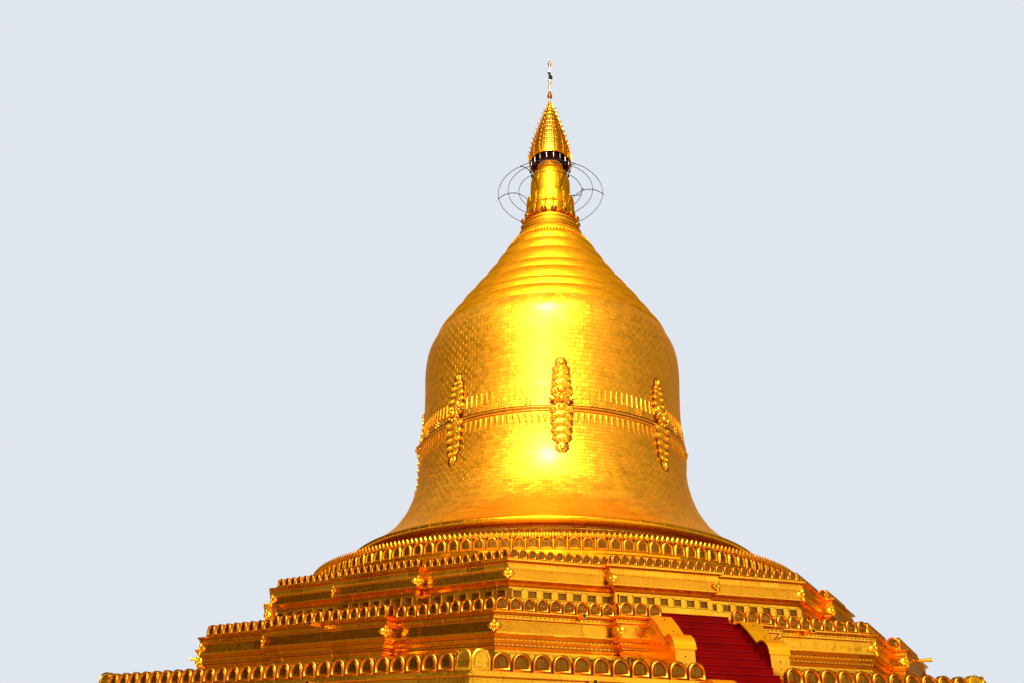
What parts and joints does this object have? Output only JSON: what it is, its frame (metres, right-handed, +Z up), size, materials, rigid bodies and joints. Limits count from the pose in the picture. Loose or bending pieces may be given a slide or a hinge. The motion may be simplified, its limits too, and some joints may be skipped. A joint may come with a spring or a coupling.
{
  "type": "stupa",
  "caption": "Gilded stupa with octagonal terraces, stairs and low parapets, a flared bell, a ringed cone, a lotus drum and bud, a hollow umbrella crown and a turning vane.",
  "frame": {"origin": "on the axis of the bell, at ground level", "axes": "+Z up along the axis of the bell; -Y out of the front stair"},
  "size_m": [31.41, 39.12, 39.37],
  "materials": {
    "gold_plate": "gilded plates, polished",
    "pale_gold": "bright gilding",
    "red_paint": "painted masonry, matte",
    "core_paint": "red-brown paint",
    "dark_iron": "dark, weathered"
  },
  "bodies": {
    "root": {"lower_terrace": "gold_plate", "middle_terrace": "gold_plate", "upper_terrace": "gold_plate", "lower_stair_front": "red_paint", "lower_stair_back": "red_paint", "middle_stair_front": "red_paint", "middle_stair_back": "red_paint", "lower_parapet_front_right": "gold_plate", "lower_parapet_right_back": "gold_plate", "lower_parapet_back_left": "gold_plate", "lower_parapet_left_front": "gold_plate", "middle_parapet_front_right": "gold_plate", "middle_parapet_right_back": "gold_plate", "middle_parapet_back_left": "gold_plate", "middle_parapet_left_front": "gold_plate", "upper_parapet": "gold_plate", "bell_plinth": "gold_plate", "bell_rim": "gold_plate", "bell_lower": "gold_plate", "bell_band": "gold_plate", "bell_upper": "gold_plate", "bell_ornament_1": "gold_plate", "bell_ornament_2": "gold_plate", "bell_ornament_3": "gold_plate", "bell_ornament_4": "gold_plate", "bell_ornament_5": "gold_plate", "bell_ornament_6": "gold_plate", "bell_ornament_7": "gold_plate", "bell_ornament_8": "gold_plate", "ringed_cone": "gold_plate", "lotus_drum": "gold_plate", "bud": "gold_plate", "lamp_arms": "dark_iron", "lamp_hoop_inner": "dark_iron", "lamp_hoop_middle": "dark_iron", "lamp_hoop_outer": "dark_iron", "crown_core": "core_paint", "umbrella_crown": "gold_plate", "staff": "pale_gold", "diamond_bud": "pale_gold"},
    "vane": {"wind_vane": "dark_iron"}
  },
  "joints": [
    {"name": "vane_turn", "type": "hinge", "parent": "root", "child": "vane", "pos_m": [0, 0, 37.6], "axis": [0, 0, 1], "continuous": true}
  ]
}
